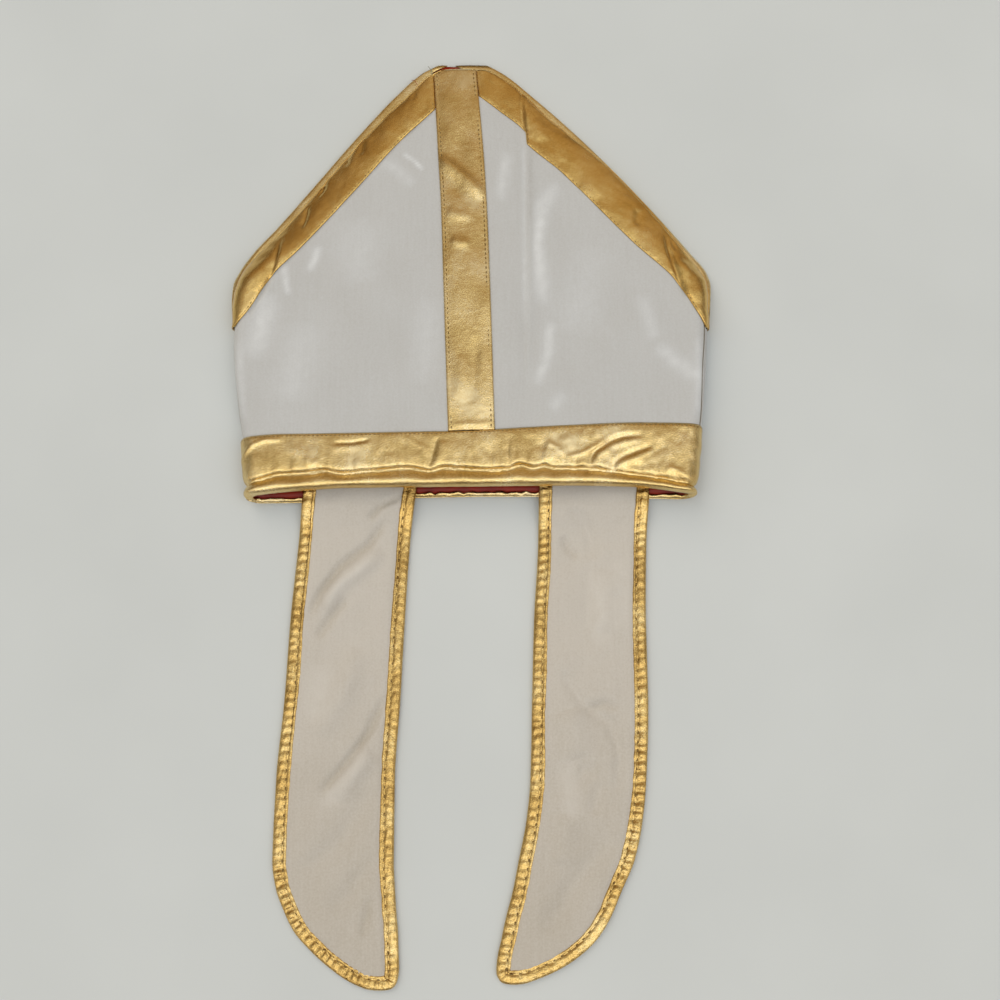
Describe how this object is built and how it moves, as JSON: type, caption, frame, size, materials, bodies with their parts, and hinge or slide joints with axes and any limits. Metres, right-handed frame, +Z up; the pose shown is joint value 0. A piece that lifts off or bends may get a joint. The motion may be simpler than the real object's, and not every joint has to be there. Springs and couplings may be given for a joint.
{
  "type": "bishop mitre",
  "caption": "Pointed bishop's mitre of white velour and gold lame with two long lappets, lying flat on its back.",
  "frame": {"origin": "on the flat underside of the head band's back, in the middle of its width and near its mid height", "axes": "+Z up from the surface that the mitre lies on, +Y from the lappets to the peak, +X to the right of somebody looking at the front with the peak away from them"},
  "size_m": [0.3224, 0.62, 0.0216],
  "materials": {
    "white_velour": "short soft pile",
    "gold_lame": "shiny metallised cloth",
    "red_satin": "smooth satin"
  },
  "bodies": {
    "root": {"front_panel": "white_velour", "back_panel": "white_velour", "front_lining": "red_satin", "back_lining": "red_satin", "head_band": "gold_lame", "front_stripe": "gold_lame", "back_stripe": "gold_lame", "front_edging_left": "gold_lame", "front_edging_right": "gold_lame", "back_edging_left": "gold_lame", "back_edging_right": "gold_lame", "left_lappet": "white_velour", "right_lappet": "white_velour", "left_lappet_binding": "gold_lame", "right_lappet_binding": "gold_lame"}
  },
  "joints": []
}
